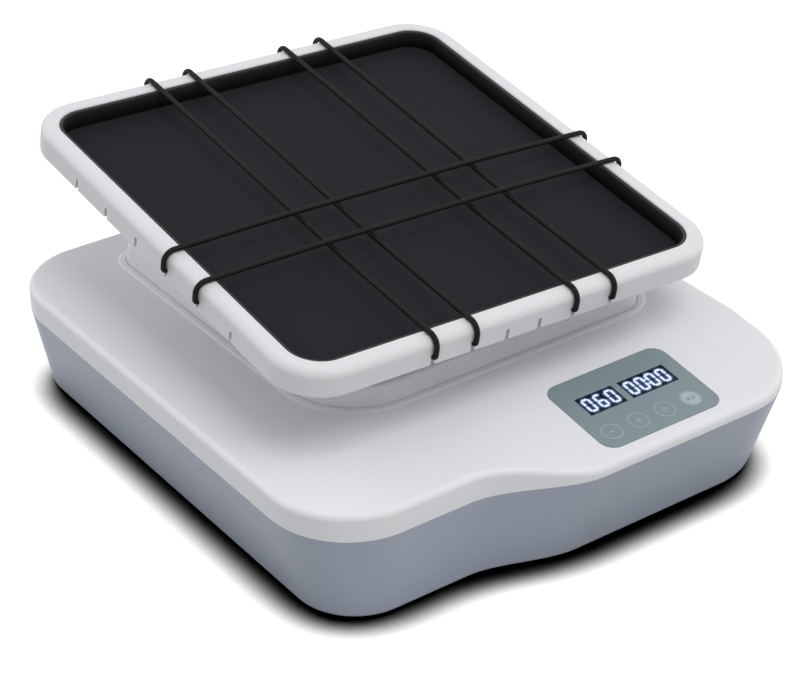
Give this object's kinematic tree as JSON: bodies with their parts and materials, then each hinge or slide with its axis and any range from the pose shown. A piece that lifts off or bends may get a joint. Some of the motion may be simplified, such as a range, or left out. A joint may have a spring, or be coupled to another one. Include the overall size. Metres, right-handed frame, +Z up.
{
  "type": "rocking shaker",
  "caption": "Benchtop rocking shaker: a shallow square tray with elastic bands leans as it circles over a low base with a sloping panel of displays and touch keys.",
  "frame": {"origin": "centre of the base's footprint, on the bench", "axes": "+X to the right of someone at the control panel, +Y to the rear, +Z up"},
  "size_m": [0.292, 0.3288, 0.1526],
  "materials": {
    "white_shell": "satin white",
    "grey_shell": "satin blue-grey",
    "panel_film": "smooth film",
    "display": "dark filter over lit segments",
    "black_gloss": "polished",
    "black_mat": "matt",
    "black_plastic": "fine grain",
    "motor_black": "satin",
    "band_rubber": "smooth",
    "foot_rubber": "matt",
    "steel": "plain",
    "aluminium": "machined",
    "bearing_steel": "ground",
    "board_green": "solder mask",
    "nylon": "plain"
  },
  "bodies": {
    "base": {"case_screw_1": "steel", "case_screw_2": "steel", "case_screw_3": "steel", "case_screw_4": "steel", "chassis_plate": "steel", "chassis_screw_1": "steel", "chassis_screw_2": "steel", "chassis_screw_3": "steel", "chassis_screw_4": "steel", "control_board": "board_green", "control_overlay": "panel_film", "drive_belt": "band_rubber", "drive_housing": "white_shell", "foot_front_left": "foot_rubber", "foot_front_right": "foot_rubber", "foot_rear_left": "foot_rubber", "foot_rear_right": "foot_rubber", "guide_block": "aluminium", "guide_pin_left": "steel", "guide_pin_right": "steel", "lower_shell": "grey_shell", "motor_body": "motor_black", "motor_bracket": "steel", "power_inlet": "black_plastic", "power_supply": "aluminium", "power_switch_body": "black_plastic", "speed_display": "display", "spindle_bearing_lower": "bearing_steel", "spindle_bearing_upper": "bearing_steel", "spindle_housing": "aluminium", "spindle_seal": "foot_rubber", "timer_display": "display", "top_cover": "white_shell"},
    "crank": {"crank_spindle": "steel", "large_pulley": "aluminium", "counterweight": "steel", "stub_nut": "steel"},
    "rotor": {"motor_shaft": "steel", "motor_pulley": "aluminium"},
    "platform": {"hub": "aluminium", "hub_bearing_lower": "bearing_steel", "hub_bearing_upper": "bearing_steel", "guide_arm": "steel", "guide_shoe": "nylon", "support_plate": "aluminium", "hub_screw_1": "steel", "hub_screw_2": "steel", "hub_screw_3": "steel", "hub_screw_4": "steel", "tray_screw_1": "steel", "tray_screw_2": "steel", "tray_screw_3": "steel", "tray_screw_4": "steel", "tray": "white_shell", "tray_liner": "black_gloss", "tray_mat": "black_mat", "band_left": "band_rubber", "band_right": "band_rubber", "band_cross": "band_rubber"},
    "rocker": {"power_rocker": "black_plastic"}
  },
  "joints": [
    {"name": "crank_turn", "type": "hinge", "parent": "base", "child": "crank", "pos_m": [-0.0008, 0.03185, 0.0862], "axis": [0, 0, 1], "continuous": true},
    {"name": "tray_nutation", "type": "hinge", "parent": "crank", "child": "platform", "pos_m": [-0.0008, 0.03185, 0.0862], "axis": [0.0445, -0.1377, 0.9895], "continuous": true},
    {"name": "motor_turn", "type": "hinge", "parent": "base", "child": "rotor", "pos_m": [0.0692, 0.03185, 0.05], "axis": [0, 0, 1], "continuous": true},
    {"name": "rocker_press", "type": "hinge", "parent": "base", "child": "rocker", "pos_m": [0.024, 0.16099, 0.01653], "axis": [-1, 0, 0], "range_deg": [0, 20]}
  ],
  "couplings": [
    {"joint": "tray_nutation", "follows": "crank_turn", "ratio": -1},
    {"joint": "motor_turn", "follows": "crank_turn", "ratio": 4}
  ]
}
